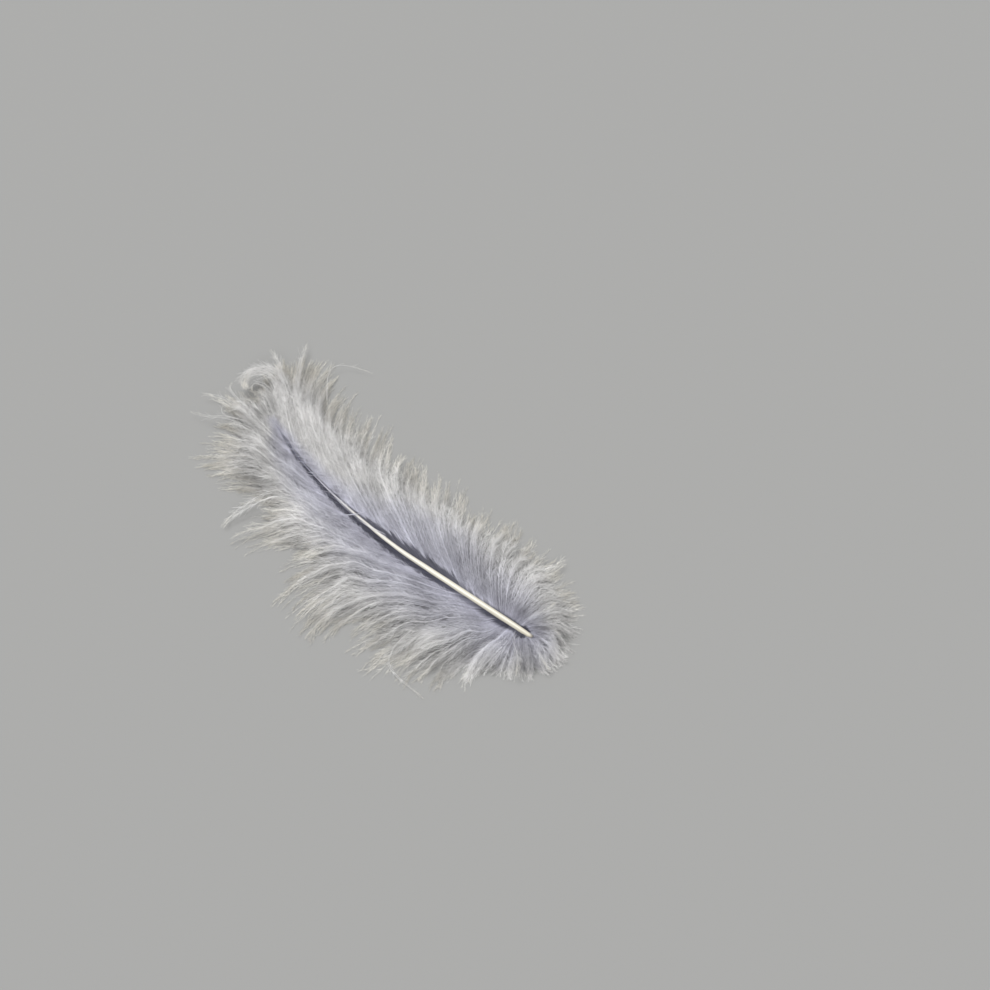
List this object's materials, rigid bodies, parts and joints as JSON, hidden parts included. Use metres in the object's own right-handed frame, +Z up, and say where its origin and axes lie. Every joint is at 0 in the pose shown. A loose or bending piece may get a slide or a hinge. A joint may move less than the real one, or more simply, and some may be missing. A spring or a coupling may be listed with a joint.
{
  "type": "downy quill feather",
  "caption": "Soft downy quill feather, shaft side up: a tapered cream quill with a fluffy vane of curling pale lilac-grey barbs on both sides and at both ends.",
  "frame": {"origin": "middle of the feather's bounding box, on the surface it lies on", "axes": "+Y along the feather from the quill end to the tip, +Z up, away from the surface"},
  "size_m": [0.075, 0.146, 0.0119],
  "materials": {
    "down": "soft matte down, slate-violet at the shaft, pale lilac-grey along the barbs and warm grey-white at the tips",
    "quill": "smooth cream keratin with a slight gloss"
  },
  "bodies": {
    "root": {"feather": "down"}
  },
  "joints": []
}
